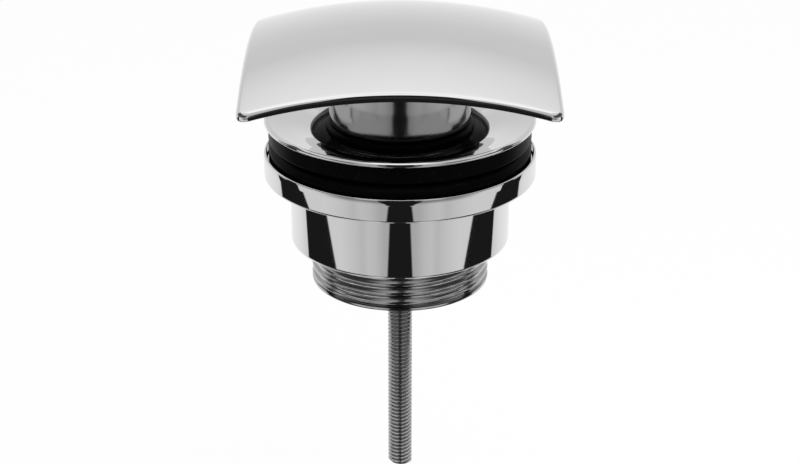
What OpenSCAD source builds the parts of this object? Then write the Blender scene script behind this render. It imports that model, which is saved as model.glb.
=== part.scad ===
// Pop-up basin waste: a click plug under a square domed cover, a dished flange,
// and a lower body that one long bolt draws up under the basin.
// Millimetres, +Z up. The origin is on the axis, in the plane of the basin's
// surface, which is the underside of the flange's rim. The plug stands open.

/* [Cover] */
// Side of the square cover
cover_side = 70; // [66:0.5:80]
// Rounding of the cover's corners, seen from above
cover_corner_r = 3; // [1:0.25:6]
// Radius of the cover's domed top
cover_dome_r = 127; // [110:1:200]
// Thickness of the cover's plate
cover_t = 1.6; // [1.2:0.1:2.4]
// Height of the middle of the cover above the basin when the plug is open
open_height = 22.9; // [22:0.1:28]
// Gap between the cover's plate and the top rim of the carrier
cover_shadow_gap = 0.75; // [0.3:0.05:1.5]
// Diameter of the cover's hollow stud
stud_d = 10; // [9.5:0.1:11]
// Diameter of the pad around the stud that the carrier is drawn against
pad_d = 28; // [20:0.5:30]

/* [Plug carrier] */
// Outside diameter of the carrier
carrier_d = 32.8; // [31:0.1:34]
// Wall of the carrier's skirt
carrier_wall = 2.6; // [2.2:0.1:3.2]
// Thickness of the carrier's top plate
carrier_plate_t = 2; // [1.5:0.1:2.5]
// Depth of the carrier's skirt below the basin's surface when the plug is open
carrier_drop = 0.3; // [0:0.1:1]
// Height of the carrier's lip under the plug seal
carrier_lip_h = 0.8; // [0.5:0.1:1.2]
// Height of the plug seal
seal_h = 2.4; // [1.8:0.1:2.8]
// How far the plug seal stands out of the carrier
seal_overhang = 0.8; // [0.5:0.1:1.2]
// Depth of the plug seal's groove in the carrier
seal_groove = 1; // [0.6:0.1:1.4]
// Height of the nut that holds the carrier to the stud
carrier_nut_h = 2.9; // [2.4:0.1:4]
// Width of that nut across its flats
carrier_nut_af = 15; // [14:0.5:17]

/* [Click cartridge] */
// Travel of the plug from open to fully pressed
push_stroke = 10.2; // [9.6:0.1:11.5]
// Rise of the plug from fully pressed to latched shut
latch_lift = 1.2; // [0.8:0.1:1.8]
// Swing of the guide ring from one lane of the plunger's track to its peak
track_swing = 24; // [20:1:28]
// Diameter of the plunger
plunger_d = 10; // [9.6:0.1:11]
// Diameter of the plunger's journal, on which the plug turns
journal_d = 6; // [5.4:0.1:6.4]
// Length of that journal
journal_l = 4.2; // [3.8:0.1:4.4]
// Reach of the snap ring into the journal and into the stud
snap_ring_reach = 0.45; // [0.35:0.05:0.6]
// Thickness of the snap ring on the journal
snap_ring_t = 0.8; // [0.6:0.1:1]
// Diameter of the guide pin
guide_pin_d = 1.4; // [1.2:0.1:1.6]
// Reach of the guide pin into the plunger's track
guide_pin_reach = 0.9; // [0.7:0.1:1.1]
// Wall of the guide ring
guide_ring_wall = 2.3; // [2:0.1:2.8]
// Height of the guide ring
guide_ring_h = 2.9; // [2.6:0.1:3.6]
// Wall of the barrel
barrel_wall = 1.5; // [1.2:0.1:2]
// Thickness of the barrel's roof
barrel_roof_t = 1.8; // [1.4:0.1:2.4]
// Thickness of the circlip in the barrel
circlip_t = 0.8; // [0.6:0.1:1.2]
// Width of the ledge that the circlip gives the guide ring
circlip_ledge = 1.3; // [0.8:0.1:1.6]
// Depth of the circlip's groove in the barrel
circlip_groove = 0.65; // [0.4:0.05:0.9]
// Depth of the two spanner flats on the barrel
barrel_flat_depth = 0.75; // [0.4:0.05:0.9]
// Height of those flats
barrel_flat_h = 3.6; // [2.5:0.1:5]
// Length of the plunger below its track
plunger_foot = 1.9; // [1.2:0.1:2.5]
// Solid metal between the plunger's bore and its shoulder
plunger_crown = 3; // [2:0.1:4]
// Outside diameter of the return spring
spring_d = 5.2; // [4.8:0.1:5.6]
// Wire of the return spring
spring_wire = 0.8; // [0.6:0.05:0.9]
// Turns of the return spring
spring_turns = 14; // [10:1:15]

/* [Clamp bolt] */
// Crest diameter of the rod's thread
rod_d = 5.9; // [5.6:0.1:6.2]
// Pitch of the rod's thread
rod_pitch = 1; // [0.8:0.05:1.25]
// Depth of the rod's thread
rod_thread_depth = 0.5; // [0.35:0.05:0.6]
// Length of the rod below the bolt's hexagon
rod_l = 72.2; // [60:0.2:100]
// Plain neck of the rod under the hexagon
rod_neck_l = 6; // [4.5:0.5:10]
// Width of the bolt's hexagon across its flats
hexagon_af = 16; // [15:0.5:18]
// Height of the bolt's hexagon
hexagon_h = 3; // [2.4:0.1:4]
// Height of the threaded spigot that holds the barrel
barrel_spigot_h = 2.8; // [2.2:0.1:4]
// Metal under the spring's socket in that spigot
socket_floor_t = 0.4; // [0.2:0.1:1]
// Thickness of the slip washer
slip_washer_t = 0.8; // [0.5:0.1:1.2]

/* [Flange] */
// Diameter of the flange
flange_d = 63; // [62:0.2:70]
// Height of the flange's rim above the basin's surface
rim_h = 1.1; // [0.9:0.05:1.6]
// Rounding of the rim's outer edge
rim_round = 0.7; // [0.3:0.05:0.8]
// Width of the raised bead along the rim
rim_bead_w = 2; // [1.5:0.1:3]
// Step from the rim's bead down to the dish
rim_step = 0.25; // [0.1:0.05:0.4]
// Width of the bare ring under the rim that meets the basin
seat_w = 0.7; // [0.5:0.1:1]
// Diameter of the waste hole at the foot of the dish
hole_d = 42.5; // [41:0.1:44]
// Depth of the hole's edge below the basin's surface
dish_depth = 1.87; // [1.2:0.01:2.4]
// Rounding of the hole's edge
lip_round = 1; // [0.6:0.1:1.4]
// Drop from the open plug seal to the top of the straight throat
flow_drop = 5.3; // [4.6:0.1:6]
// Wall of the flange's spigot
spigot_wall = 1.5; // [1.2:0.1:2]
// Height of the flange's spider
spider_h = 3.5; // [3:0.1:5]
// Step from the spider's hub down to its arms
spider_step = 0.4; // [0.2:0.1:0.8]
// Width of a spider arm
spider_arm_w = 3.5; // [2.5:0.1:4]

/* [Gaskets] */
// Setback of both gaskets from the bare ring under the rim
gasket_inset = 0.25; // [0.1:0.05:0.6]
// Thickness of the upper gasket at its thin inner edge
upper_gasket_t = 1.8; // [1.2:0.1:3]
// Height of the lower gasket
lower_gasket_h = 4.9; // [4:0.1:7]
// Setback of the lower gasket from the cup's bore
lower_gasket_inset = 1; // [0.3:0.1:1.6]
// Bevel on the gaskets' facing edges
gasket_bevel = 1.3; // [0.5:0.1:2]

/* [Lower body] */
// Width of the collar's thin rim around the lower gasket
collar_rim_w = 0.6; // [0.5:0.05:1.2]
// Depth of the recess that holds the lower gasket
collar_recess = 2.55; // [1.5:0.05:3]
// Height of the collar
collar_h = 5.65; // [5:0.05:8]
// Wall of the cup
cup_wall = 2.5; // [2:0.1:3]
// Thickness of the cup's floor
cup_floor_t = 3; // [2.4:0.1:4]
// Room under the flange's spigot with the clamp closed
cup_floor_gap = 2.9; // [1:0.1:8]
// Fine bevel on thin rims and on the seal
fine_bevel = 0.15; // [0.05:0.05:0.25]
// Bevel on the edges of the collar and the cup
edge_bevel = 0.4; // [0.2:0.05:0.6]
// Crest diameter of the tail's pipe thread
tail_d = 41.91; // [40:0.01:43]
// Length of the tail
tail_l = 10.2; // [8:0.1:16]
// Pitch of the tail's thread
tail_pitch = 2.309; // [2:0.001:2.5]
// Depth of the tail's thread
tail_thread_depth = 1.48; // [1:0.01:1.6]
// Wall of the tail under its thread
tail_wall = 1.3; // [1:0.1:2]
// Diameter of the threaded boss in the tail
boss_d = 11; // [10:0.1:13]
// Length of that boss
boss_l = 6.5; // [5:0.1:8]
// Height of the arms that hold that boss
boss_arm_h = 4; // [3:0.1:4.6]
// Drop of the boss below the cup's floor
boss_drop = 1.5; // [0.5:0.1:2]

/* [Fits] */
// Radial clearance of a running fit
running_gap = 0.05; // [0.02:0.01:0.1]
// Clearance between pieces that are screwed or stretched together
ease = 0.05; // [0.02:0.01:0.1]
// Gap between loose pieces and what holds them
loose_gap = 0.25; // [0.2:0.01:0.35]
// Gap left at the end of the plug's travel
stop_gap = 0.6; // [0.3:0.1:1]
// Gap between the two gaskets with the clamp closed
clamp_gap = 0.3; // [0.2:0.05:1]
// Gap between the lower gasket and the collar's rim
recess_gap = 0.6; // [0.3:0.05:1]
// Room around the flange's spigot inside the cup
cup_gap = 1.45; // [1:0.05:2]

/* [Hidden] */
$fn = 96;

// Overshoot of a cut past the face it starts from
cut = 1;
// How far a joined boss or arm reaches into the wall that carries it
root = 0.6;
arm_angles = [45, 135, 225, 315];
// Half width of a thread's crest and root, as a share of its pitch
thread_flat = 0.06;
// Start of a further ridge at the tail's end, as a share of its pitch
tail_run_out = 0.35;

// Dome of the cover
dome_z = open_height - cover_dome_r;
cover_inner_r = cover_dome_r - cover_t;
function under_dome(r) = dome_z + sqrt(cover_inner_r * cover_inner_r - r * r);

// Levels of the plug, from the cover down
carrier_r = carrier_d / 2;
carrier_top_z = under_dome(carrier_r) - cover_shadow_gap;
carrier_plate_z = carrier_top_z - carrier_plate_t;
stud_end_z = carrier_plate_z - carrier_nut_h;
shoulder_z = stud_end_z - 2 * running_gap;
journal_top_z = shoulder_z + journal_l;
snap_ring_z = shoulder_z + (journal_l - snap_ring_t) / 2;
skirt_z = -carrier_drop;
seal_bottom_z = skirt_z - seal_h;
lip_bottom_z = seal_bottom_z - carrier_lip_h;

// Radii of the plug
seal_r = carrier_r + seal_overhang;
neck_r = carrier_r - seal_groove;
journal_r = journal_d / 2;
journal_bore_r = journal_r + running_gap;
snap_ring_in_r = journal_r - snap_ring_reach;
snap_ring_out_r = journal_r + snap_ring_reach;

// Click cartridge, from its roof down
plunger_r = plunger_d / 2;
guide_ring_in_r = plunger_r + 2 * running_gap;
guide_ring_r = guide_ring_in_r + guide_ring_wall;
barrel_bore_r = guide_ring_r + 2 * running_gap;
barrel_r = barrel_bore_r + barrel_wall;
barrel_top_z = stud_end_z - push_stroke - stop_gap;
barrel_roof_z = barrel_top_z - barrel_roof_t;
guide_ring_z = barrel_roof_z - loose_gap - guide_ring_h;
guide_z = guide_ring_z + guide_ring_h / 2;
circlip_z = guide_ring_z - loose_gap - circlip_t;
circlip_in_r = guide_ring_r - circlip_ledge;
circlip_r = barrel_bore_r + circlip_groove - ease;

// Heart-shaped track that is milled into the front of the plunger
pin_r = guide_pin_d / 2;
pin_tip_r = plunger_r - guide_pin_reach;
track_half_w = pin_r + loose_gap;
track_floor = pin_tip_r * cos(track_swing + asin(pin_r / pin_tip_r)) - 2 * running_gap;
track_peak_x = (plunger_r + pin_tip_r) / 2 * sin(track_swing);
plunger_z = guide_z - track_half_w - plunger_foot;

// Bolt and spider, under the pressed plunger
spigot_top_z = plunger_z - push_stroke - stop_gap;
hexagon_top_z = spigot_top_z - barrel_spigot_h;
hexagon_z = hexagon_top_z - hexagon_h;
rod_end_z = hexagon_z - rod_l;
rod_r = rod_d / 2;
barrel_spigot_r = barrel_bore_r - 2 * ease;
slip_washer_z = hexagon_z - slip_washer_t;
spider_z = slip_washer_z - spider_h;
hub_r = hexagon_af / 2;
slip_washer_r = hub_r - edge_bevel;
bolt_hole_r = rod_r + loose_gap;

// Return spring, between the bolt's socket and the top of the plunger's bore
spring_bore_r = spring_d / 2 + loose_gap;
socket_depth = barrel_spigot_h - socket_floor_t;
spring_z = spigot_top_z - socket_depth;
plunger_bore_top_z = shoulder_z - plunger_crown;
spring_l = plunger_bore_top_z - ease - spring_z;
spring_mean_r = (spring_d - spring_wire) / 2;
spring_steps = 14;
spring_sides = 6;

// Flange
flange_r = flange_d / 2;
hole_r = hole_d / 2;
dish_top_r = flange_r - rim_bead_w;
dish_top_z = rim_h - rim_step;
dish_slope = (dish_top_z + dish_depth) / (dish_top_r - hole_r);
seat_r = flange_r - seat_w;
throat_top_r = hole_r - lip_round;
throat_top_z = -dish_depth - lip_round;
throat_r = seal_r + loose_gap;
throat_z = seal_bottom_z - flow_drop;
spigot_top_r = throat_top_r + spigot_wall;
spigot_r = throat_r + spigot_wall;
function under_flange(r) = -(seat_r - r) * dish_slope;

// Gaskets and lower body, from the clamp joint down
gasket_r = seat_r - gasket_inset;
upper_gasket_z = under_flange(spigot_top_r) - upper_gasket_t;
lower_gasket_top_z = upper_gasket_z - clamp_gap;
recess_z = lower_gasket_top_z - lower_gasket_h;
recess_r = gasket_r + recess_gap;
collar_r = recess_r + collar_rim_w;
collar_top_z = recess_z + collar_recess;
collar_z = collar_top_z - collar_h;
cup_bore_r = spigot_top_r + cup_gap;
cup_r = cup_bore_r + cup_wall;
cup_floor_z = spider_z - cup_floor_gap;
cup_z = cup_floor_z - cup_floor_t;
lower_gasket_in_r = cup_bore_r + lower_gasket_inset;
tail_r = tail_d / 2;
tail_root_r = tail_r - tail_thread_depth;
tail_bore_r = tail_root_r - tail_wall;
tail_end_r = tail_root_r + tail_thread_depth * (tail_run_out - thread_flat) / (0.5 - 2 * thread_flat);
tail_z = cup_z - tail_l;
tail_crests = floor(tail_l / tail_pitch - tail_run_out);
tail_ridge_z = tail_z + (tail_crests + tail_run_out) * tail_pitch;
boss_top_z = cup_z - boss_drop;

// Points of an arc in the profile plane
function arc(centre, radius, from, to, steps = 6) =
  [for (i = [0 : steps]) let (a = from + (to - from) * i / steps)
    centre + radius * [cos(a), sin(a)]];

// Ridges of a turned thread from z_top down: root, crest, crest, root for each pitch
function ridges(crest_r, depth, pitch, z_top, count) =
  [for (i = [0 : count - 1]) let (z = z_top - i * pitch) each [
    [crest_r - depth, z - thread_flat * pitch],
    [crest_r, z - (0.5 - thread_flat) * pitch],
    [crest_r, z - (0.5 + thread_flat) * pitch],
    [crest_r - depth, z - (1 - thread_flat) * pitch]
  ]];

module turned(points) {
  rotate_extrude() polygon(points);
}

module ring(inner_r, outer_r, z, height) {
  translate([0, 0, z]) difference() {
    cylinder(r = outer_r, h = height);
    translate([0, 0, -cut]) cylinder(r = inner_r, h = height + 2 * cut);
  }
}

// Hub on four arms, which reach a little into the hub and into the wall around it
module spider(wall_r, centre_r, top_z, centre_h, arm_h) {
  translate([0, 0, top_z - centre_h]) cylinder(r = centre_r, h = centre_h);
  for (a = arm_angles) rotate(a)
    translate([centre_r - root, -spider_arm_w / 2, top_z - spider_step - arm_h])
      cube([wall_r - centre_r + 2 * root, spider_arm_w, arm_h]);
}

module hexagon(across_flats, z, height) {
  translate([0, 0, z]) cylinder(d = across_flats / cos(30), h = height, $fn = 6);
}

module cover_outline() {
  straight = cover_side - 2 * cover_corner_r;
  square([cover_side, straight], center = true);
  square([straight, cover_side], center = true);
  for (x = [-1, 1], y = [-1, 1])
    translate([x, y] * straight / 2) circle(cover_corner_r);
}

module cover() color("gainsboro") difference() {
  union() {
    intersection() {
      translate([0, 0, dome_z]) difference() {
        sphere(cover_dome_r);
        sphere(cover_inner_r);
      }
      linear_extrude(open_height + cut) cover_outline();
    }
    intersection() {
      translate([0, 0, dome_z]) sphere(cover_dome_r - cover_t / 2);
      union() {
        translate([0, 0, carrier_top_z]) cylinder(d = pad_d, h = open_height);
        translate([0, 0, stud_end_z]) cylinder(d = stud_d, h = open_height);
      }
    }
  }
  translate([0, 0, stud_end_z - cut])
    cylinder(r = journal_bore_r, h = journal_top_z + loose_gap - stud_end_z + cut);
  translate([0, 0, snap_ring_z - ease])
    cylinder(r = snap_ring_out_r + ease, h = snap_ring_t + 2 * ease);
}

module plug_carrier() color("silver") turned([
  [stud_d / 2 + loose_gap, carrier_top_z],
  [carrier_r - edge_bevel, carrier_top_z],
  [carrier_r, carrier_top_z - edge_bevel],
  [carrier_r, skirt_z],
  [neck_r, skirt_z],
  [neck_r, seal_bottom_z],
  [carrier_r - fine_bevel, seal_bottom_z],
  [carrier_r - fine_bevel, lip_bottom_z],
  [carrier_r - carrier_wall, lip_bottom_z],
  [carrier_r - carrier_wall, carrier_plate_z],
  [stud_d / 2 + loose_gap, carrier_plate_z]
]);

module plug_seal() color("black") turned(concat(
  [[neck_r + ease, skirt_z - ease], [carrier_r, skirt_z - ease]],
  arc([carrier_r, skirt_z - ease - seal_overhang], seal_overhang, 90, 0),
  [
    [seal_r, seal_bottom_z + ease + seal_overhang / 2],
    [seal_r - seal_overhang / 2, seal_bottom_z + ease],
    [neck_r + ease, seal_bottom_z + ease]
  ]
));

module carrier_nut() color("goldenrod") difference() {
  hexagon(carrier_nut_af, stud_end_z, carrier_nut_h);
  translate([0, 0, stud_end_z - cut]) cylinder(r = stud_d / 2 + ease, h = carrier_nut_h + 2 * cut);
}

module plunger_snap_ring() color("darkgray") difference() {
  ring(snap_ring_in_r, snap_ring_out_r, snap_ring_z, snap_ring_t);
  translate([0, -snap_ring_t, snap_ring_z - cut]) cube([journal_d, 2 * snap_ring_t, snap_ring_t + 2 * cut]);
}

// Lane of the track, whose ends are drilled a little wider than it is milled
module track_lane(from, to) {
  run = to - from;
  translate(from) circle(track_half_w + ease);
  translate(to) circle(track_half_w + ease);
  translate(from) rotate(atan2(run.y, run.x))
    translate([0, -track_half_w]) square([norm(run), 2 * track_half_w]);
}

module heart_track() {
  start = [0, guide_z];
  notch = [0, guide_z + push_stroke - latch_lift];
  for (side = [-1, 1]) {
    peak = [side * track_peak_x, guide_z + push_stroke];
    track_lane(start, peak);
    track_lane(notch, peak);
  }
}

module plunger() color("gold") difference() {
  turned([
    [0, plunger_z],
    [plunger_r - edge_bevel, plunger_z],
    [plunger_r, plunger_z + edge_bevel],
    [plunger_r, shoulder_z],
    [journal_r, shoulder_z],
    [journal_r, snap_ring_z - 2 * ease],
    [snap_ring_in_r - 2 * ease, snap_ring_z - 2 * ease],
    [snap_ring_in_r - 2 * ease, snap_ring_z + snap_ring_t + 2 * ease],
    [journal_r, snap_ring_z + snap_ring_t + 2 * ease],
    [journal_r, journal_top_z - edge_bevel],
    [journal_r - edge_bevel, journal_top_z],
    [0, journal_top_z]
  ]);
  translate([0, 0, plunger_z - cut]) cylinder(r = spring_bore_r, h = plunger_bore_top_z - plunger_z + cut);
  translate([0, -track_floor, 0]) rotate([90, 0, 0]) linear_extrude(plunger_d) heart_track();
}

// Height of the spring's wire after u turns, with one closed turn at each end
function spring_rise(u) =
  let (free_l = spring_l - spring_wire)
  u < 1 ? u * spring_wire
  : u > spring_turns - 1 ? free_l - (spring_turns - u) * spring_wire
  : spring_wire + (u - 1) * (free_l - 2 * spring_wire) / (spring_turns - 2);

module return_spring() {
  last = spring_turns * spring_steps;
  points = [
    for (i = [0 : last], j = [0 : spring_sides - 1])
      let (u = i / spring_steps, a = 360 * u, b = 360 * j / spring_sides)
      let (r = spring_mean_r + spring_wire / 2 * cos(b))
      [r * cos(a), r * sin(a), spring_z + spring_wire / 2 + spring_rise(u) + spring_wire / 2 * sin(b)]
  ];
  function at(i, j) = i * spring_sides + j % spring_sides;
  faces = concat(
    [[for (j = [0 : spring_sides - 1]) at(0, j)]],
    [for (i = [0 : last - 1], j = [0 : spring_sides - 1])
      [at(i, j), at(i + 1, j), at(i + 1, j + 1), at(i, j + 1)]],
    [[for (j = [spring_sides - 1 : -1 : 0]) at(last, j)]]
  );
  color("lightsteelblue") polyhedron(points, faces);
}

module guide_ring() color("white") difference() {
  ring(guide_ring_in_r, guide_ring_r, guide_ring_z, guide_ring_h);
  translate([0, 0, guide_z]) rotate([90, 0, 0]) cylinder(r = pin_r + ease, h = guide_ring_r + cut);
}

module guide_pin() color("darkgray") translate([0, -pin_tip_r, guide_z]) rotate([90, 0, 0])
  cylinder(r = pin_r, h = guide_ring_r - fine_bevel - pin_tip_r);

module cartridge_barrel() color("gold") difference() {
  turned([
    [barrel_bore_r, hexagon_top_z],
    [barrel_r - edge_bevel, hexagon_top_z],
    [barrel_r, hexagon_top_z + edge_bevel],
    [barrel_r, barrel_top_z - edge_bevel],
    [barrel_r - edge_bevel, barrel_top_z],
    [plunger_r + running_gap, barrel_top_z],
    [plunger_r + running_gap, barrel_roof_z],
    [barrel_bore_r, barrel_roof_z],
    [barrel_bore_r, circlip_z + circlip_t + ease],
    [barrel_bore_r + circlip_groove, circlip_z + circlip_t + ease],
    [barrel_bore_r + circlip_groove, circlip_z - ease],
    [barrel_bore_r, circlip_z - ease]
  ]);
  for (side = [-1, 1]) translate([side * (2 * barrel_r - barrel_flat_depth), 0, barrel_top_z])
    cube([2 * barrel_r, 2 * barrel_r, 2 * barrel_flat_h], center = true);
}

module barrel_circlip() color("dimgray") difference() {
  ring(circlip_in_r, circlip_r, circlip_z, circlip_t);
  translate([0, -circlip_ledge, circlip_z - cut])
    cube([circlip_r + cut, 2 * circlip_ledge, circlip_t + 2 * cut]);
}

module clamp_bolt() color("darkgray") {
  thread_z = hexagon_z - rod_neck_l;
  turns = floor((rod_l - rod_neck_l - rod_pitch) / rod_pitch);
  turned(concat(
    [[0, rod_end_z], [0, hexagon_z + root], [rod_r, hexagon_z + root]],
    [[rod_r, thread_z + rod_thread_depth]],
    ridges(rod_r, rod_thread_depth, rod_pitch, thread_z, turns),
    [[rod_r - rod_thread_depth, rod_end_z]]
  ));
  hexagon(hexagon_af, hexagon_z, hexagon_h);
  difference() {
    translate([0, 0, hexagon_top_z - root]) cylinder(r = barrel_spigot_r, h = barrel_spigot_h + root);
    translate([0, 0, spring_z]) cylinder(r = spring_bore_r, h = socket_depth + cut);
  }
}

module slip_washer() color("whitesmoke") ring(bolt_hole_r, slip_washer_r, slip_washer_z, slip_washer_t);

module flange() color("silver") difference() {
  union() {
    turned(concat(
      [[seat_r, 0], [flange_r - fine_bevel, 0], [flange_r, fine_bevel]],
      arc([flange_r - rim_round, rim_h - rim_round], rim_round, 0, 90),
      [[dish_top_r + rim_step, rim_h], [dish_top_r, dish_top_z]],
      arc([hole_r, throat_top_z], lip_round, 90, 180),
      [
        [throat_r, throat_z],
        [throat_r, spider_z],
        [spigot_r, spider_z],
        [spigot_r, throat_z - spigot_wall],
        [spigot_top_r, throat_top_z - spigot_wall],
        [spigot_top_r, under_flange(spigot_top_r)]
      ]
    ));
    spider(throat_r, hub_r, slip_washer_z, spider_h, spider_h - 2 * spider_step);
  }
  translate([0, 0, spider_z - cut]) cylinder(r = bolt_hole_r, h = spider_h + 2 * cut);
}

module upper_gasket() color("black") turned([
  [spigot_top_r + ease, under_flange(spigot_top_r + ease) - ease],
  [spigot_top_r + ease, upper_gasket_z],
  [gasket_r - gasket_bevel, upper_gasket_z],
  [gasket_r, upper_gasket_z + gasket_bevel / 2],
  [gasket_r, under_flange(gasket_r) - ease]
]);

module lower_gasket() color("black") turned([
  [lower_gasket_in_r, recess_z],
  [gasket_r, recess_z],
  [gasket_r, lower_gasket_top_z - gasket_bevel],
  [gasket_r - gasket_bevel, lower_gasket_top_z],
  [lower_gasket_in_r, lower_gasket_top_z]
]);

module lower_body() color("silver") difference() {
  union() {
    turned(concat(
      [
        [recess_r, collar_top_z],
        [collar_r - fine_bevel, collar_top_z],
        [collar_r, collar_top_z - fine_bevel],
        [collar_r, collar_z + edge_bevel],
        [collar_r - edge_bevel, collar_z],
        [cup_r + edge_bevel, collar_z],
        [cup_r, collar_z - edge_bevel],
        [cup_r, cup_z + edge_bevel],
        [cup_r - edge_bevel, cup_z],
        [tail_root_r, cup_z]
      ],
      ridges(tail_r, tail_thread_depth, tail_pitch, tail_ridge_z, tail_crests),
      [
        [tail_root_r, tail_z + (tail_run_out - thread_flat) * tail_pitch],
        [tail_end_r, tail_z],
        [tail_bore_r, tail_z],
        [tail_bore_r, cup_floor_z],
        [cup_bore_r, cup_floor_z],
        [cup_bore_r, recess_z],
        [recess_r, recess_z]
      ]
    ));
    spider(tail_bore_r, boss_d / 2, boss_top_z, boss_l, boss_arm_h);
  }
  translate([0, 0, boss_top_z - boss_l - cut]) cylinder(r = rod_r + 2 * running_gap, h = boss_l + 2 * cut);
}

cover();
plug_carrier();
plug_seal();
carrier_nut();
plunger_snap_ring();
plunger();
return_spring();
guide_ring();
guide_pin();
cartridge_barrel();
barrel_circlip();
clamp_bolt();
slip_washer();
flange();
upper_gasket();
lower_gasket();
lower_body();
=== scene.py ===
"""Looks of the pop-up basin waste: mirror chrome, satin chrome, black rubber and a plated bolt."""
import math

import bmesh
import bpy
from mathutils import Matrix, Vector


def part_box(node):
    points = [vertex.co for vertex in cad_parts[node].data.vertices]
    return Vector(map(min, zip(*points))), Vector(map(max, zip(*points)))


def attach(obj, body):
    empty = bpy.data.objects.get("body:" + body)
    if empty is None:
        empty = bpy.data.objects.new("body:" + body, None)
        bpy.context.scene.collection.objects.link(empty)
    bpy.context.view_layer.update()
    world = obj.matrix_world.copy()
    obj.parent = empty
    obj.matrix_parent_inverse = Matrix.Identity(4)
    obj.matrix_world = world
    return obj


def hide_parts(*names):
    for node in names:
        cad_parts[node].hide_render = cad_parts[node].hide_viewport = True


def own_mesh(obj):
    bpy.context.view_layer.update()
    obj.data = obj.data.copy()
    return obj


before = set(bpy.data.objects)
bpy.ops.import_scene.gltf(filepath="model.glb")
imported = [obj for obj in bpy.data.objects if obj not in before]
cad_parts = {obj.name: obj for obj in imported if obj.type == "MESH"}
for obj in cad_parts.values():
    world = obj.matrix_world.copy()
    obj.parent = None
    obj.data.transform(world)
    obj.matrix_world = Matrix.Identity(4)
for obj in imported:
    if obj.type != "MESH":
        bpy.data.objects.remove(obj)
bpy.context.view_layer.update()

# Meshes are written in millimetres, as the part's source is, and scaled once in skin()
MM = 0.001
COLUMNS = 192
ROUND_STEPS = 6
SHARP_EDGE = math.radians(38)

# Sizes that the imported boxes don't give, repeated from the part's source
COVER_CORNER = 3.0
DOME_R = 127.0
COVER_T = 1.6
PAD_R = 14.0
STUD_R = 5.0
STUD_BORE_R = 3.05
SNAP_GROOVE_R = 3.5
CARRIER_WALL = 2.6
CARRIER_PLATE_T = 2.0
SEAL_GROOVE = 1.0
RIM_BEAD_W = 2.0
RIM_STEP = 0.25
SEAT_W = 0.7
HOLE_R = 21.25
DISH_DEPTH = 1.87
LIP_ROUND = 1.0
FLOW_DROP = 5.3
SPIGOT_WALL = 1.5
SPIDER_H = 3.5
SPIDER_STEP = 0.4
SPIDER_ARM_W = 3.5
ARM_ROOT = 0.6
GASKET_BEVEL = 1.3
LOWER_GASKET_INSET = 1.0
COLLAR_RIM_W = 0.6
COLLAR_H = 5.65
COLLAR_RECESS = 2.55
CUP_WALL = 2.5
CUP_FLOOR_T = 3.0
CUP_GAP = 1.45
TAIL_R = 20.955
TAIL_L = 10.2
TAIL_PITCH = 2.309
TAIL_DEPTH = 1.48
TAIL_WALL = 1.3
BOSS_R = 5.5
BOSS_L = 6.5
BOSS_ARM_H = 4.0
BOSS_DROP = 1.5
ROD_R = 2.95
ROD_PITCH = 1.0
ROD_DEPTH = 0.5
ROD_NECK_L = 6.0
HEXAGON_AF = 16.0
HEXAGON_H = 3.0
SPIGOT_R = 7.4
SOCKET_R = 2.85
SPRING_TURNS = 14
SPRING_WIRE = 0.8
EASE = 0.05
LOOSE_GAP = 0.25

# Fine forms that the solids leave to the looks, as the photo shows them
COVER_EDGE = 1.1
COVER_LOW_EDGE = 0.14
FOOT_TAPER = 0.2
FOOT_TAPER_H = 1.7
LIP_INSET = 0.15
RIM_CHAMFER = 0.55
DISH_BREAK_R = 25.5
DISH_BREAK_Z = -0.28
COLLAR_TAPER = 0.1
COLLAR_TAPER_H = 0.95
RIDGE_H = 0.8
THREAD_RELIEF = 0.35
TAIL_CHAMFER = 0.2
TAIL_LAND = 0.7
LAND_STEP = 0.2
BOSS_THREAD_GAP = 0.1


def foot(node):
    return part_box(node)[0][2] / MM


def top(node):
    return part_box(node)[1][2] / MM


def reach(node):
    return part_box(node)[1][0] / MM


COVER_HALF = reach("cover")
COVER_TOP = top("cover")


def photo_camera():
    lens = bpy.data.cameras.new("photo_view")
    lens.lens = 82.78
    looking_down = 23.719
    camera = bpy.data.objects.new("photo_view", lens)
    camera.location = (0, -0.4007, 0.1472)
    camera.rotation_euler = (math.radians(90 - looking_down), 0, 0)
    bpy.context.scene.collection.objects.link(camera)
    bpy.context.scene.camera = camera


def skin(name, rings, loop=False):
    """Closed mesh over rings of points. A ring of one point is a pole, other open ends are capped."""
    points = []
    starts = []
    for ring in rings:
        starts.append(len(points))
        points.extend(ring)
    spans = list(zip(range(len(rings)), range(1, len(rings))))
    if loop:
        spans.append((len(rings) - 1, 0))
    faces = []
    for low, high in spans:
        count = max(len(rings[low]), len(rings[high]))
        for i in range(count):
            corners = [(low, i), (low, i + 1), (high, i + 1), (high, i)]
            face = [starts[ring] + place % len(rings[ring]) for ring, place in corners]
            faces.append(list(dict.fromkeys(face)))
    if not loop:
        for ring in (0, len(rings) - 1):
            if len(rings[ring]) > 1:
                faces.append([starts[ring] + i for i in range(len(rings[ring]))])
    mesh = bpy.data.meshes.new(name)
    mesh.from_pydata([Vector(point) * MM for point in points], [], faces)
    shell = bmesh.new()
    shell.from_mesh(mesh)
    bmesh.ops.recalc_face_normals(shell, faces=shell.faces)
    shell.to_mesh(mesh)
    shell.free()
    mesh.shade_smooth()
    mesh.set_sharp_from_angle(angle=SHARP_EDGE)
    piece = bpy.data.objects.new(name, mesh)
    bpy.context.scene.collection.objects.link(piece)
    even = piece.modifiers.new("even_shading", "WEIGHTED_NORMAL")
    even.keep_sharp = True
    return piece


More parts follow.
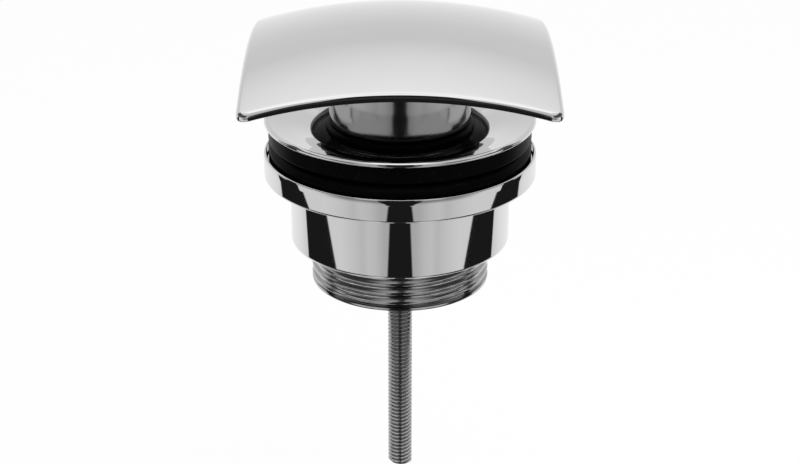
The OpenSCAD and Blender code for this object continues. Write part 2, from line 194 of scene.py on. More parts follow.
def rounded(corners):
    """Closed profile of (radius, z) through corners of (radius, z, setback of the rounding)."""
    profile = []
    for i, (radius, z, setback) in enumerate(corners):
        corner = Vector((radius, z))
        to_last = (Vector(corners[i - 1][:2]) - corner).normalized()
        to_next = (Vector(corners[(i + 1) % len(corners)][:2]) - corner).normalized()
        for step in range(ROUND_STEPS + 1):
            t = step / ROUND_STEPS
            profile.append(corner + setback * ((1 - t) ** 2 * to_last + t ** 2 * to_next))
    return profile


def circle(radius, z, columns=COLUMNS):
    turns = [2 * math.pi * i / columns for i in range(columns)]
    return [(radius * math.cos(turn), radius * math.sin(turn), z) for turn in turns]


def lathe(name, corners):
    return skin(name, [circle(radius, z) for radius, z in rounded(corners)], loop=True)


def tooth(phase):
    """Height of a thread's ridge, from 0 at its root to 1 at its crest, which is at phase 0."""
    steepness = 1.35
    ramp = min(max((abs(2 * phase - 1) - 0.5) * steepness + 0.5, 0), 1)
    return 0.5 * ramp + 0.5 * ramp * ramp * (3 - 2 * ramp)


def thread(root_r, depth, pitch, top_z, bottom_z, run_out, land_l, columns, rows_per_pitch):
    """Rings of a right-hand thread, from its run-out at top_z down to a plain land above bottom_z."""
    rows = round((top_z - bottom_z) / pitch * rows_per_pitch)
    rings = []
    for row in range(rows + 1):
        z = top_z + (bottom_z - top_z) * row / rows
        room = min((top_z - z) / run_out, 1)
        land = (bottom_z + land_l - z) / LAND_STEP
        ring = []
        for i in range(columns):
            turn = 2 * math.pi * i / columns
            ridge = tooth(((z - bottom_z) / pitch - i / columns) % 1)
            radius = root_r + depth * min(max(ridge, land), room)
            ring.append((radius * math.cos(turn), radius * math.sin(turn), z))
        rings.append(ring)
    return rings


def bar(angle, start, end, width, bottom_z, top_z, softness):
    """Rings of one spider arm: a soft-edged bar from start to end along a radius."""
    corners = [(-width / 2, bottom_z), (width / 2, bottom_z), (width / 2, top_z), (-width / 2, top_z)]
    outline = rounded([(across, z, softness) for across, z in corners])
    cosine = math.cos(math.radians(angle))
    sine = math.sin(math.radians(angle))
    sections = []
    for along in (start, end):
        section = []
        for across, z in outline:
            section.append((along * cosine - across * sine, along * sine + across * cosine, z))
        sections.append(section)
    return sections


def recoat(piece, material, chosen):
    """Gives a second finish to the faces whose middle and normal are chosen."""
    piece.data.materials.append(material)
    for face in piece.data.polygons:
        if chosen(face.center / MM, face.normal):
            face.material_index = 1


def fit(piece, body, slot, material, *nodes):
    """Puts a finished piece on its body, in the place of CAD nodes."""
    piece.data.materials.append(material)
    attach(piece, body)
    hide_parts(*nodes)


class Value:
    """A socket of a node tree. Its operators add Math nodes to that tree."""

    def __init__(self, tree, socket):
        self.tree = tree
        self.socket = socket

    def other(self, name):
        return Value(self.tree, self.socket.node.outputs[name])

    def __add__(self, term):
        return self.tree.math("ADD", self, term)

    def __radd__(self, term):
        return self.tree.math("ADD", term, self)

    def __sub__(self, term):
        return self.tree.math("SUBTRACT", self, term)

    def __rsub__(self, term):
        return self.tree.math("SUBTRACT", term, self)

    def __mul__(self, factor):
        return self.tree.math("MULTIPLY", self, factor)

    def __rmul__(self, factor):
        return self.tree.math("MULTIPLY", factor, self)


def grey(level):
    return (level, level, level, 1)


class Tree:
    """The node tree of one material or of the world."""

    def __init__(self, owner):
        owner.use_nodes = True
        self.nodes = owner.node_tree.nodes
        self.links = owner.node_tree.links
        self.nodes.clear()

    def add(self, kind, settings, sockets, output=0):
        node = self.nodes.new(kind)
        for name, setting in settings.items():
            if name == "stops":
                self.set_stops(node.color_ramp.elements, setting)
            else:
                setattr(node, name, setting)
        for name, value in sockets.items():
            if isinstance(value, Value):
                self.links.new(value.socket, node.inputs[name])
            else:
                node.inputs[name].default_value = value
        return Value(self, node.outputs[output]) if len(node.outputs) else None

    def set_stops(self, elements, stops):
        """Stops of a ramp from grey to grey, the first at 0 and the last at 1."""
        elements[0].color = grey(stops[0][1])
        elements[1].color = grey(stops[-1][1])
        for place, level in stops[1:-1]:
            elements.new(place).color = grey(level)

    def math(self, operation, *values):
        return self.add("ShaderNodeMath", {"operation": operation}, dict(enumerate(values)))

    def mix(self, factor, first, second):
        return self.add("ShaderNodeMix", {"data_type": "RGBA"}, {0: factor, 6: first, 7: second}, 2)

    def ramp(self, value, stops):
        return self.add("ShaderNodeValToRGB", {"stops": stops}, {"Fac": value})

    def noise(self, place, scale, detail):
        return self.add("ShaderNodeTexNoise", {}, {"Vector": place, "Scale": scale, "Detail": detail})

    def step(self, value, low, high):
        sockets = {"Value": value, "From Min": low, "From Max": high}
        return self.add("ShaderNodeMapRange", {"interpolation_type": "SMOOTHSTEP"}, sockets)

    def between(self, value, start, end):
        """1 from the step at start up to the step at end, each a pair of (low, high)."""
        return self.step(value, *start) * (1 - self.step(value, *end))

    def stretch(self, place, scale):
        return self.add("ShaderNodeVectorMath", {"operation": "MULTIPLY"}, {0: place, 1: scale})

    def bump(self, height, distance, strength):
        sockets = {"Height": height, "Distance": distance, "Strength": strength}
        return self.add("ShaderNodeBump", {}, sockets)


def finish(name, paint, **constants):
    """A procedural material: paint gives what changes over the surface, constants what doesn't."""
    material = bpy.data.materials.new(name)
    tree = Tree(material)
    place = tree.add("ShaderNodeTexCoord", {}, {}, "Object")
    sockets = {key.replace("_", " "): value for key, value in constants.items()}
    sockets.update(paint(tree, place))
    surface = tree.add("ShaderNodeBsdfPrincipled", {}, sockets)
    tree.add("ShaderNodeOutputMaterial", {}, {"Surface": surface})
    return material


def distance_from_axis(tree, place):
    across = tree.add("ShaderNodeSeparateXYZ", {}, {0: place}, "X")
    along = across.other("Y")
    return tree.math("SQRT", across * across + along * along)


def polished_chrome(tree, place):
    clouds = tree.noise(place, scale=55, detail=3)
    polish = tree.noise(place, scale=1800, detail=2)
    return {
        "Base Color": tree.mix(clouds, grey(0.73), grey(0.77)),
        "Roughness": 0.01 + clouds * 0.015 + polish * 0.015,
    }


def satin_chrome(tree, place):
    lay = tree.noise(tree.stretch(place, (60, 60, 5200)), scale=1, detail=3)
    clouds = tree.noise(place, scale=90, detail=2)
    return {
        "Base Color": tree.mix(clouds, grey(0.36), grey(0.45)),
        "Roughness": 0.09 + lay * 0.05 + clouds * 0.03,
        "Normal": tree.bump(lay, distance=0.00001, strength=0.08),
    }


def dull_plate_painted_shade(tree, place):
    # A dull plate whose base colour is also darkened as painted shade, for the deep throat and the spiders
    # in it.
    clouds = tree.noise(place, scale=130, detail=4)
    lay = tree.noise(tree.stretch(place, (90, 90, 3000)), scale=1, detail=2)
    return {
        "Base Color": tree.mix(clouds, grey(0.17), grey(0.3)),
        "Roughness": 0.34 + clouds * 0.12 + lay * 0.08,
        "Normal": tree.bump(lay, distance=0.00001, strength=0.3),
    }


def thread_plate_painted_shade(tree, place):
    crest_h = 0.4
    # Base colour: the crests are painted lighter as a highlight and the roots darker as painted shade; the
    # clouds are random tone.
    crest = tree.step(distance_from_axis(tree, place), (TAIL_R - crest_h) * MM, TAIL_R * MM)
    clouds = tree.noise(place, scale=160, detail=3)
    return {
        "Base Color": tree.mix(crest * 0.85 + clouds * 0.15, grey(0.36), grey(0.55)),
        "Roughness": 0.12 - crest * 0.06 + clouds * 0.06,
    }


def black_rubber(tree, place):
    mottle = tree.noise(place, scale=260, detail=4)
    grain = tree.noise(place, scale=4200, detail=2)
    dust = tree.step(tree.noise(place, scale=1500, detail=1), 0.66, 0.78)
    clean = tree.mix(mottle, grey(0.0006), grey(0.0016))
    return {
        "Base Color": tree.mix(dust, clean, grey(0.006)),
        "Roughness": 0.28 + mottle * 0.15 + dust * 0.15,
        "Normal": tree.bump(grain, distance=0.00003, strength=0.2),
    }


def zinc_plate_painted_shade(tree, place):
    crest = tree.step(distance_from_axis(tree, place), (ROD_R - ROD_DEPTH) * MM, ROD_R * MM)
    clouds = tree.noise(place, scale=320, detail=3)
    return {
        # Base colour: the thread's roots are painted darker as shade and its crests lighter as a
        # highlight; the clouds are random tone.
        "Base Color": tree.mix(crest * 0.7 + clouds * 0.3, grey(0.23), grey(0.68)),
        "Roughness": 0.26 - crest * 0.1 + clouds * 0.08,
    }


def turned_brass(tree, place):
    lay = tree.noise(tree.stretch(place, (80, 80, 3600)), scale=1, detail=2)
    tarnish = tree.noise(place, scale=240, detail=4)
    return {
        "Base Color": tree.mix(tarnish, (0.6, 0.43, 0.17, 1), (0.76, 0.58, 0.27, 1)),
        "Roughness": 0.22 + lay * 0.12 + tarnish * 0.1,
        "Normal": tree.bump(lay, distance=0.00001, strength=0.3),
    }


def drawn_steel(tree, place):
    streaks = tree.noise(tree.stretch(place, (900, 900, 2600)), scale=1, detail=2)
    clouds = tree.noise(place, scale=400, detail=2)
    return {
        "Base Color": tree.mix(clouds, (0.42, 0.43, 0.45, 1), (0.56, 0.57, 0.58, 1)),
        "Roughness": 0.2 + streaks * 0.14,
    }


def natural_acetal(tree, place):
    clouds = tree.noise(place, scale=210, detail=3)
    grain = tree.noise(place, scale=5200, detail=1)
    return {
        "Base Color": tree.mix(clouds, (0.74, 0.73, 0.68, 1), (0.82, 0.81, 0.77, 1)),
        "Roughness": 0.34 + clouds * 0.12,
        "Normal": tree.bump(grain, distance=0.00002, strength=0.12),
    }


def cover_outline(inset):
    """Points around the square cover, seen from above, at an inset from its edge."""
    straight = COVER_HALF - COVER_CORNER
    corner_r = COVER_CORNER - inset
    side_steps = 36
    corner_steps = 12
    side = [(COVER_HALF - inset, straight * (2 * i / side_steps - 1)) for i in range(side_steps)]
    for i in range(corner_steps):
        swing = math.radians(90 * i / corner_steps)
        side.append((straight + corner_r * math.cos(swing), straight + corner_r * math.sin(swing)))
    points = []
    for quarter in range(4):
        cosine = math.cos(math.radians(90 * quarter))
        sine = math.sin(math.radians(90 * quarter))
        points.extend((x * cosine - y * sine, x * sine + y * cosine) for x, y in side)
    return points


def on_dome(points, dome_r, lift=0.0):
    """Points seen from above, lifted to a dome around the middle of the cover's dome."""
    middle_z = COVER_TOP - DOME_R
    return [(x, y, middle_z + math.sqrt(dome_r ** 2 - x * x - y * y) + lift) for x, y in points]


def cover_top_rings():
    """Rings from the middle of the cover's top out to its edge and round to its underside."""
    dome_steps = 40
    rings = [[(0, 0, COVER_TOP)]]
    for i in range(1, dome_steps + 1):
        share = i / dome_steps
        rings.append(on_dome([(x * share, y * share) for x, y in cover_outline(COVER_EDGE)], DOME_R))
    for i in range(1, ROUND_STEPS + 1):
        swing = math.radians(90 * i / ROUND_STEPS)
        inset = COVER_EDGE * (1 - math.sin(swing))
        drop = COVER_EDGE * (1 - math.cos(swing))
        rings.append(on_dome(cover_outline(inset), DOME_R, -drop))
    for i in range(ROUND_STEPS):
        swing = math.radians(90 * i / ROUND_STEPS)
        inset = COVER_LOW_EDGE * (1 - math.cos(swing))
        lift = COVER_LOW_EDGE * (1 - math.sin(swing))
        rings.append(on_dome(cover_outline(inset), DOME_R - COVER_T, lift))
    return rings


def cover_under_rings():
    """Rings from the edge of the cover's underside in to its pad, down its stud and up the bore."""
    inner_r = DOME_R - COVER_T
    under_steps = 24
    headings = [math.atan2(y, x) for x, y in cover_outline(0)]
    pad = [(PAD_R * math.cos(heading), PAD_R * math.sin(heading)) for heading in headings]
    rings = []
    for i in range(under_steps):
        share = i / under_steps
        blend = []
        for (x, y), (pad_x, pad_y) in zip(cover_outline(COVER_LOW_EDGE), pad):
            blend.append((x + (pad_x - x) * share, y + (pad_y - y) * share))
        rings.append(on_dome(blend, inner_r))
    pad_top = COVER_TOP - DOME_R + math.sqrt(inner_r ** 2 - PAD_R ** 2)
    pad_foot = top("plug_carrier")
    stud_end = foot("carrier_nut")
    bore_top = top("plunger") + LOOSE_GAP
    groove_low = foot("plunger_snap_ring") - EASE
    groove_top = top("plunger_snap_ring") + EASE
    stud = rounded([
        (PAD_R, pad_top, 0.0),
        (PAD_R, pad_foot, 0.1),
        (STUD_R, pad_foot, 0.2),
        (STUD_R, stud_end, 0.3),
        (STUD_BORE_R, stud_end, 0.2),
        (STUD_BORE_R, groove_low, 0.05),
        (SNAP_GROOVE_R, groove_low, 0.05),
        (SNAP_GROOVE_R, groove_top, 0.05),
        (STUD_BORE_R, groove_top, 0.05),
        (STUD_BORE_R, bore_top, 0.1),
        (STUD_BORE_R / 2, bore_top, 0.0),
    ])
    for radius, z in stud[ROUND_STEPS:-ROUND_STEPS]:
        rings.append([(radius * math.cos(heading), radius * math.sin(heading), z) for heading in headings])
    rings.append([(0, 0, bore_top)])
    return rings


def carrier_corners():
    outer = reach("plug_carrier")
    inner = outer - CARRIER_WALL
    neck = outer - SEAL_GROOVE
    lip = outer - LIP_INSET
    hole = STUD_R + LOOSE_GAP
    rim = top("plug_carrier")
    seal_top = top("plug_seal") + EASE
    seal_foot = foot("plug_seal") - EASE
    return [
        (hole, rim, 0.2),
        (outer, rim, 0.5),
        (outer, seal_top + FOOT_TAPER_H, 0.95),
        (outer - FOOT_TAPER, seal_top, 0.65),
        (neck, seal_top, 0.1),
        (neck, seal_foot, 0.1),
        (lip, seal_foot, 0.15),
        (lip, foot("plug_carrier"), 0.25),
        (inner, foot("plug_carrier"), 0.25),
        (inner, rim - CARRIER_PLATE_T, 0.6),
        (hole, rim - CARRIER_PLATE_T, 0.2),
    ]


def seal_corners():
    outer = reach("plug_seal")
    inner = reach("plug_carrier") - SEAL_GROOVE + EASE
    return [
        (inner, foot("plug_seal"), 0.15),
        (outer, foot("plug_seal"), 0.6),
        (outer, top("plug_seal"), 0.9),
        (inner, top("plug_seal"), 0.15),
    ]


def seat_slope():
    """Rise of the flange's underside, which the upper gasket's top follows."""
    return (top("flange") - RIM_STEP + DISH_DEPTH) / (reach("flange") - RIM_BEAD_W - HOLE_R)


def flange_profile():
    """Rim, dish, hole, throat and spigot of the flange, without its spider."""
    outer = reach("flange")
    rim = top("flange")
    seat = outer - SEAT_W
    throat_top_r = HOLE_R - LIP_ROUND
    throat_top_z = -DISH_DEPTH - LIP_ROUND
    throat_r = reach("plug_seal") + LOOSE_GAP
    throat_z = foot("plug_seal") - EASE - FLOW_DROP
    spigot_top_r = throat_top_r + SPIGOT_WALL
    spigot_r = throat_r + SPIGOT_WALL
    lip_in = 0.75
    lip_drop = 0.12
    throat_in = 0.1
    throat_drop = 0.4
    return rounded([
        (seat, 0, 0.1),
        (outer, 0, 0.2),
        (outer, rim - RIM_CHAMFER, 0.25),
        (outer - RIM_CHAMFER, rim, 0.25),
        (DISH_BREAK_R, DISH_BREAK_Z, 1.8),
        (HOLE_R - lip_in, -DISH_DEPTH - lip_drop, 0.8),
        (throat_top_r - throat_in, throat_top_z - throat_drop, 0.4),
        (throat_r, throat_z, 0.8),
        (throat_r, foot("flange"), 0.25),
        (spigot_r, foot("flange"), 0.5),
        (spigot_r, throat_z - SPIGOT_WALL, 0.8),
        (spigot_top_r, throat_top_z - SPIGOT_WALL, 0.6),
        (spigot_top_r, -(seat - spigot_top_r) * seat_slope(), 0.2),
    ])


def upper_gasket_corners():
    outer = reach("upper_gasket")
    inner = HOLE_R - LIP_ROUND + SPIGOT_WALL + EASE
    inner_top = top("upper_gasket") - (outer - inner) * seat_slope()
    return [
        (inner, inner_top, 0.2),
        (inner, foot("upper_gasket"), 0.3),
        (outer - GASKET_BEVEL, foot("upper_gasket"), 0.5),
        (outer, foot("upper_gasket") + GASKET_BEVEL / 2, 0.5),
        (outer, top("upper_gasket"), 0.2),
    ]


def lower_gasket_corners():
    outer = reach("lower_gasket")
    inner = HOLE_R - LIP_ROUND + SPIGOT_WALL + CUP_GAP + LOWER_GASKET_INSET
    return [
        (inner, foot("lower_gasket"), 0.3),
        (outer, foot("lower_gasket"), 0.2),
        (outer, top("lower_gasket") - GASKET_BEVEL, 0.4),
        (outer - GASKET_BEVEL, top("lower_gasket"), 0.4),
        (inner, top("lower_gasket"), 0.4),
    ]


def lower_body_rings():
    """Collar, cup and threaded tail, without the boss and its arms."""
    collar_r = reach("lower_body")
    recess_r = collar_r - COLLAR_RIM_W
    collar_top = top("lower_body")
    recess_z = collar_top - COLLAR_RECESS
    collar_foot = collar_top - COLLAR_H
    cup_bore = HOLE_R - LIP_ROUND + SPIGOT_WALL + CUP_GAP
    cup_r = cup_bore + CUP_WALL
    tail_foot = foot("lower_body")
    cup_foot = tail_foot + TAIL_L
    cup_floor = cup_foot + CUP_FLOOR_T
    root_r = TAIL_R - RIDGE_H
    tail_bore = TAIL_R - TAIL_DEPTH - TAIL_WALL
    profile = rounded([
        (TAIL_R, tail_foot, 0.15),
        (tail_bore, tail_foot, 0.4),
        (tail_bore, cup_floor, 0.4),
        (cup_bore, cup_floor, 1.0),
        (cup_bore, recess_z, 0.4),
        (recess_r, recess_z, 0.3),
        (recess_r, collar_top, 0.1),
        (collar_r - COLLAR_TAPER, collar_top, 0.36),
        (collar_r, collar_top - COLLAR_TAPER_H, 0.55),
        (collar_r, collar_foot, 0.6),
        (cup_r, collar_foot, 0.6),
        (cup_r, cup_foot, 0.7),
        (root_r, cup_foot, 0.3),
    ])
    tail_thread = thread(
        root_r, RIDGE_H, TAIL_PITCH, cup_foot - THREAD_RELIEF, tail_foot + TAIL_CHAMFER,
        run_out=1.2, land_l=TAIL_LAND, columns=COLUMNS, rows_per_pitch=24,
    )
    return [circle(radius, z) for radius, z in profile] + tail_thread


def hub(hole_r, outer_r, bottom_z, top_z):
    return [
        (hole_r, bottom_z, 0.3),
        (outer_r, bottom_z, 0.5),
        (outer_r, top_z, 0.5),
        (hole_r, top_z, 0.3),
    ]


def spider_pieces(name, hole_r, hub_r, wall_r, hub_span, arm_span):
    """Hub and its four arms, each a closed piece."""
    softness = 0.4
    pieces = [lathe(name + "_hub", hub(hole_r, hub_r, *hub_span))]
    for i in range(4):
        arm = bar(45 + 90 * i, hub_r - ARM_ROOT, wall_r + ARM_ROOT, SPIDER_ARM_W, *arm_span, softness)
        pieces.append(skin(name + "_arm_" + str(i + 1), arm))
    return pieces


def bolt_rings():
    """Rod with its rolled thread, hexagon, and the spigot with the spring's socket."""
    columns = 48
    rod_end = foot("clamp_bolt")
    spigot_top = top("clamp_bolt")
    hexagon_foot = top("slip_washer")
    hexagon_top = hexagon_foot + HEXAGON_H
    socket_floor = foot("return_spring")
    root_r = ROD_R - ROD_DEPTH
    corner_r = HEXAGON_AF / math.sqrt(3)
    chamfer_r = HEXAGON_AF / 2 - 0.1
    chamfer_h = 0.6
    point_r = root_r - 0.3
    point_top_r = root_r - 0.05
    point_h = 0.2
    thread_end = rod_end + 0.3
    thread_top = hexagon_foot - ROD_NECK_L
    neck_low = thread_top + 0.1
    neck_high = thread_top + 0.6
    fillet_r = ROD_R + 0.2
    fillet_h = 0.3
    spigot_chamfer = 0.4
    socket_chamfer = 0.3

    def plain(radius, z):
        return circle(radius, z, columns)

    def hexagon(z, limit):
        ring = []
        for i in range(columns):
            turn = 2 * math.pi * i / columns
            flat = HEXAGON_AF / 2 / math.cos(turn % (math.pi / 3) - math.pi / 6)
            radius = min(flat, limit)
            ring.append((radius * math.cos(turn), radius * math.sin(turn), z))
        return ring

    rod_thread = thread(
        root_r, ROD_DEPTH, ROD_PITCH, thread_top, thread_end,
        run_out=0.7, land_l=0.0, columns=columns, rows_per_pitch=12,
    )
    return [
        [(0, 0, rod_end)],
        plain(point_r, rod_end),
        plain(point_top_r, rod_end + point_h),
        *reversed(rod_thread),
        plain(root_r, neck_low),
        plain(ROD_R, neck_high),
        plain(ROD_R, hexagon_foot - fillet_h),
        plain(fillet_r, hexagon_foot),
        hexagon(hexagon_foot, chamfer_r),
        hexagon(hexagon_foot + chamfer_h, corner_r),
        hexagon(hexagon_top - chamfer_h, corner_r),
        hexagon(hexagon_top, chamfer_r),
        plain(SPIGOT_R, hexagon_top),
        plain(SPIGOT_R, spigot_top - spigot_chamfer),
        plain(SPIGOT_R - spigot_chamfer, spigot_top),
        plain(SOCKET_R + socket_chamfer, spigot_top),
        plain(SOCKET_R, spigot_top - socket_chamfer),
        plain(SOCKET_R, socket_floor),
        [(0, 0, socket_floor)],
    ]


def spring_rings():
    """Round wire of the return spring, with one closed turn at each end."""
    wire_r = SPRING_WIRE / 2
    coil_r = reach("return_spring") - wire_r
    low = foot("return_spring") + wire_r
    free_l = top("return_spring") - foot("return_spring") - SPRING_WIRE
    steps = 36
    sides = 12
    rings = []
    for i in range(SPRING_TURNS * steps + 1):
        turns = i / steps
        if turns < 1:
            rise = turns * SPRING_WIRE
        elif turns > SPRING_TURNS - 1:
            rise = free_l - (SPRING_TURNS - turns) * SPRING_WIRE
        else:
            rise = SPRING_WIRE + (turns - 1) * (free_l - 2 * SPRING_WIRE) / (SPRING_TURNS - 2)
        angle = 2 * math.pi * turns
        ring = []
        for j in range(sides):
            around = 2 * math.pi * j / sides
            radius = coil_r + wire_r * math.cos(around)
            height = low + rise + wire_r * math.sin(around)
            ring.append((radius * math.cos(angle), radius * math.sin(angle), height))
        rings.append(ring)
    return rings


def build_plug():
    cover = skin("cover_dome", cover_top_rings() + cover_under_rings())
    fit(cover, "plug", "polished_chrome", CHROME, "cover")
    fit(lathe("carrier_cup", carrier_corners()), "plug", "satin_chrome", SATIN, "plug_carrier")
    fit(lathe("plug_ring", seal_corners()), "plug", "rubber", RUBBER, "plug_seal")


def build_flange():
    throat_shade_top = -2.0

    def in_throat(middle, normal):
        return middle.z < throat_shade_top and normal.dot(middle.xy.to_3d()) < 0

    dish = skin("flange_dish", [circle(radius, z) for radius, z in flange_profile()], loop=True)
    fit(dish, "flange", "polished_chrome", CHROME, "flange")
    # The throat's inner faces, from 2 mm below the basin down, get the dull plate darkened as painted
    # shade.
    recoat(dish, DULL_PAINTED_SHADE, in_throat)
    washer_foot = foot("slip_washer")
    throat_r = reach("plug_seal") + LOOSE_GAP
    hub_span = (washer_foot - SPIDER_H, washer_foot)
    arm_span = (washer_foot - SPIDER_H + SPIDER_STEP, washer_foot - SPIDER_STEP)
    hole_r = ROD_R + LOOSE_GAP
    # The spider gets the dull plate darkened as painted shade.
    for piece in spider_pieces("flange_spider", hole_r, HEXAGON_AF / 2, throat_r, hub_span, arm_span):
        fit(piece, "flange", "polished_chrome", DULL_PAINTED_SHADE, "flange")
    fit(lathe("flange_gasket", upper_gasket_corners()), "flange", "rubber", RUBBER, "upper_gasket")


def build_lower_body():
    cup_foot = foot("lower_body") + TAIL_L
    thread_start = cup_foot - 0.25

    def on_thread(middle, normal):
        return middle.z < thread_start and middle.xy.length > TAIL_R - RIDGE_H

    shell = skin("collar_cup_tail", lower_body_rings(), loop=True)
    fit(shell, "lower_body", "polished_chrome", CHROME, "lower_body")
    # The thread's faces get the plate with a painted highlight on the crests and painted shade in the
    # roots.
    recoat(shell, THREAD, on_thread)
    boss_top = cup_foot - BOSS_DROP
    hub_span = (boss_top - BOSS_L, boss_top)
    arm_span = (boss_top - SPIDER_STEP - BOSS_ARM_H, boss_top - SPIDER_STEP)
    wall_r = TAIL_R - TAIL_DEPTH - TAIL_WALL
    hole_r = ROD_R + BOSS_THREAD_GAP
    # The boss and its arms get the dull plate darkened as painted shade.
    for piece in spider_pieces("tail_boss", hole_r, BOSS_R, wall_r, hub_span, arm_span):
        fit(piece, "lower_body", "polished_chrome", DULL_PAINTED_SHADE, "lower_body")
    fit(lathe("collar_gasket", lower_gasket_corners()), "lower_body", "rubber", RUBBER, "lower_gasket")


def build_bolt():
    # The rod's plate carries painted shade in the thread's roots and a painted highlight on its crests.
    fit(skin("long_bolt", bolt_rings()), "bolt", "zinc_steel", ZINC, "clamp_bolt")
    spring = skin("lift_spring", spring_rings())
    fit(spring, "bolt", "spring_steel", STEEL, "return_spring")
    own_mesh(spring)


def dress_small_pieces():
    """Finishes of the small pieces that keep their CAD shape."""
    dressing = {
        "carrier_nut": BRASS,
        "plunger": BRASS,
        "cartridge_barrel": BRASS,
        "plunger_snap_ring": STEEL,
        "guide_pin": STEEL,
        "barrel_circlip": STEEL,
        "guide_ring": ACETAL,
        "slip_washer": ACETAL,
    }
    for node, material in dressing.items():
        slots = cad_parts[node].data.materials
        slots.clear()
        slots.append(material)


# The studio's directions: heading is 0 in front, 0.5 at both sides and 1 behind. Rise is -1
# straight down, 0 level and 1 straight up. Upright mirrors see a rise of about -0.26.
FLAG_DARK = grey(0.012)


def studio_walls(tree, heading):
    return tree.ramp(heading, [
        (0.0, 0.45),
        (0.09, 0.5),
        (0.14, 0.62),
        (0.18, 0.66),
        (0.22, 0.6),
        (0.27, 0.68),
        (0.36, 0.77),
        (0.64, 0.76),
        (0.71, 0.89),
        (0.8, 0.94),
        (1.0, 0.94),
    ])


def studio_ceiling(tree, rise):
    return tree.ramp(rise * 0.5 + 0.5, [
        (0.0, 0.93),
        (0.46, 0.89),
        (0.535, 0.81),
        (0.6, 0.72),
        (0.65, 0.72),
        (0.71, 0.89),
        (0.79, 1.05),
        (0.86, 1.2),
        (0.93, 1.15),
        (1.0, 0.98),
    ])


def flagged_walls(tree, walls, heading, rise):
    """Walls with a dark flag in front and one at each side, and shade where the rims look."""
    before_sides = 1 - tree.step(heading, 0.25, 0.42)
    rim_band = tree.between(rise, (-0.22, -0.12), (0, 0.08)) * before_sides
    above_collar = tree.step(rise, -0.238, -0.228)
    lean = tree.math("MINIMUM", rise + 0.257, 0.014)
    above_level = tree.math("MAXIMUM", rise, 0)
    widening = above_level * 0.03 + rim_band * 0.035 + above_collar * 0.016 - lean * 0.7
    front_flag = 1 - tree.step(heading - widening, 0.051, 0.062)
    side_start = tree.step(heading - lean * 3.5, 0.459, 0.467)
    side_end = tree.step(heading - lean * 1.4, 0.643, 0.655)
    flags = tree.math("MAXIMUM", front_flag, side_start * (1 - side_end))
    shaded = tree.mix(rim_band * 0.65, walls, FLAG_DARK)
    return tree.mix(flags, shaded, FLAG_DARK)


def dark_panels(tree, heading):
    """Panels that the thread's flanks see: darkest in front, lit beside it, dim at the sides."""
    front_panel = 1 - tree.step(heading, 0.095, 0.11)
    side_panel = tree.step(heading, 0.195, 0.22)
    return tree.mix(front_panel, tree.mix(side_panel, grey(0.5), grey(0.085)), grey(0.03))


def studio_sweep(tree, across, along):
    """White ground straight below, with a dark seam that runs from front to back."""
    seam_growth = tree.step(along, 0.05, 0.12) * 0.05
    seam = 1 - tree.step(across - seam_growth, 0.05, 0.06)
    return tree.mix(seam, grey(0.9), FLAG_DARK)


def studio_mirror_view(tree):
    """What mirrors see of the studio in each direction."""
    direction = tree.add("ShaderNodeTexCoord", {}, {}, "Generated")
    sideways = tree.add("ShaderNodeSeparateXYZ", {}, {0: direction}, "X")
    across = tree.math("ABSOLUTE", sideways)
    along = sideways.other("Y")
    heading = tree.math("ARCTAN2", across, 0 - along) * (1 / math.pi)
    rise = tree.math("ARCSINE", sideways.other("Z")) * (2 / math.pi)
    walls = studio_walls(tree, heading)
    panels = dark_panels(tree, heading)
    before_back = 1 - tree.step(heading, 0.63, 0.67)
    table = tree.mix(before_back, walls, panels)
    ground = tree.mix(tree.step(rise, -0.74, -0.68), studio_sweep(tree, across, along), table)
    low_view = tree.mix(tree.step(rise, -0.46, -0.4), ground, flagged_walls(tree, walls, heading, rise))
    wall_top = (1 - tree.step(heading, 0.5, 0.6)) * 0.78 - 0.1
    over_walls = tree.step(rise - wall_top, -0.04, 0.04)
    high_view = tree.mix(over_walls, low_view, studio_ceiling(tree, rise))
    gallery = tree.between(rise, (0.06, 0.12), (0.41, 0.46)) * before_back
    return tree.mix(gallery, high_view, panels)


def studio_world():
    """White studio with even light. Mirrors see its walls, flags, panels and soft ceiling."""
    world = bpy.data.worlds.new("studio")
    bpy.context.scene.world = world
    tree = Tree(world)
    path = tree.add("ShaderNodeLightPath", {}, {}, "Is Camera Ray")
    backdrop = tree.math("MAXIMUM", path, path.other("Is Transmission Ray"))
    lit = tree.mix(path.other("Is Glossy Ray"), grey(0.85), studio_mirror_view(tree))
    surface = tree.add("ShaderNodeBackground", {}, {"Color": tree.mix(backdrop, lit, grey(1.0))})
    tree.add("ShaderNodeOutputWorld", {}, {"Surface": surface})


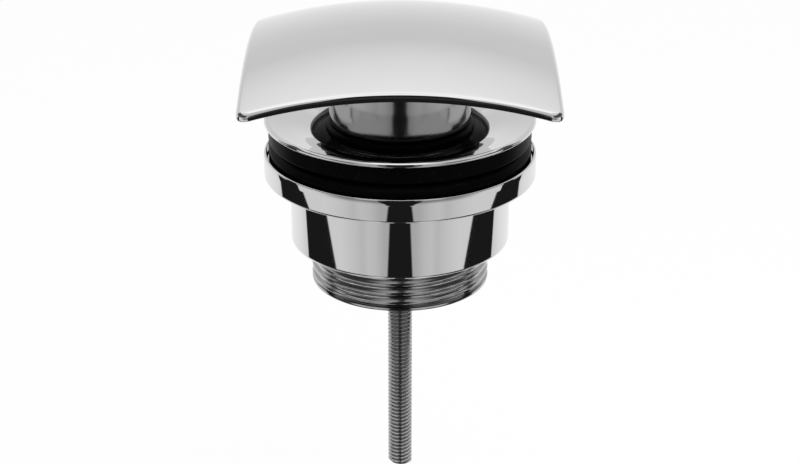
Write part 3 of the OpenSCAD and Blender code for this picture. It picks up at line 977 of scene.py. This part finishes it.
def studio_floor():
    drop = 60
    half = 4000
    white_share = 0.9
    level = foot("clamp_bolt") - drop
    corners = [(-half, -half, level), (half, -half, level), (half, half, level), (-half, half, level)]
    mesh = bpy.data.meshes.new("studio_floor")
    mesh.from_pydata([Vector(corner) * MM for corner in corners], [], [(0, 1, 2, 3)])
    floor = bpy.data.objects.new("studio_floor", mesh)
    bpy.context.scene.collection.objects.link(floor)
    material = bpy.data.materials.new("pale_floor")
    tree = Tree(material)
    shade = tree.add("ShaderNodeBsdfDiffuse", {}, {"Color": grey(0.9)})
    white = tree.add("ShaderNodeEmission", {}, {"Color": grey(1.0), "Strength": 1.0})
    path = tree.add("ShaderNodeLightPath", {}, {}, "Is Camera Ray")
    surface = tree.add("ShaderNodeMixShader", {}, {0: path * white_share, 1: shade, 2: white})
    tree.add("ShaderNodeOutputMaterial", {}, {"Surface": surface})
    mesh.materials.append(material)
    floor.visible_glossy = False


def studio_lamp():
    place = Vector((0.2, -0.3, 0.6))
    soft_box = bpy.data.lights.new("soft_box", "AREA")
    soft_box.size = 0.5
    soft_box.energy = 2.5
    lamp = bpy.data.objects.new("soft_box", soft_box)
    lamp.location = place
    lamp.rotation_euler = place.to_track_quat("Z", "Y").to_euler()
    lamp.visible_glossy = False
    bpy.context.scene.collection.objects.link(lamp)


photo_camera()
bpy.context.scene.view_settings.view_transform = "Standard"
CHROME = finish("polished_chrome", polished_chrome, Metallic=1.0)
SATIN = finish("satin_chrome", satin_chrome, Metallic=1.0)
# Dull plate with painted shade, for the throat, the spider and the boss.
DULL_PAINTED_SHADE = finish("dull_plate_painted_shade", dull_plate_painted_shade, Metallic=1.0)
THREAD = finish("thread_plate_painted_shade", thread_plate_painted_shade, Metallic=1.0)
RUBBER = finish("black_rubber", black_rubber, Specular_IOR_Level=0.03)
ZINC = finish("zinc_plate_painted_shade", zinc_plate_painted_shade, Metallic=1.0)
BRASS = finish("turned_brass", turned_brass, Metallic=1.0)
STEEL = finish("drawn_steel", drawn_steel, Metallic=1.0)
ACETAL = finish("natural_acetal", natural_acetal, Subsurface_Weight=0.05)
build_plug()
build_flange()
build_lower_body()
build_bolt()
dress_small_pieces()
studio_world()
studio_floor()
studio_lamp()
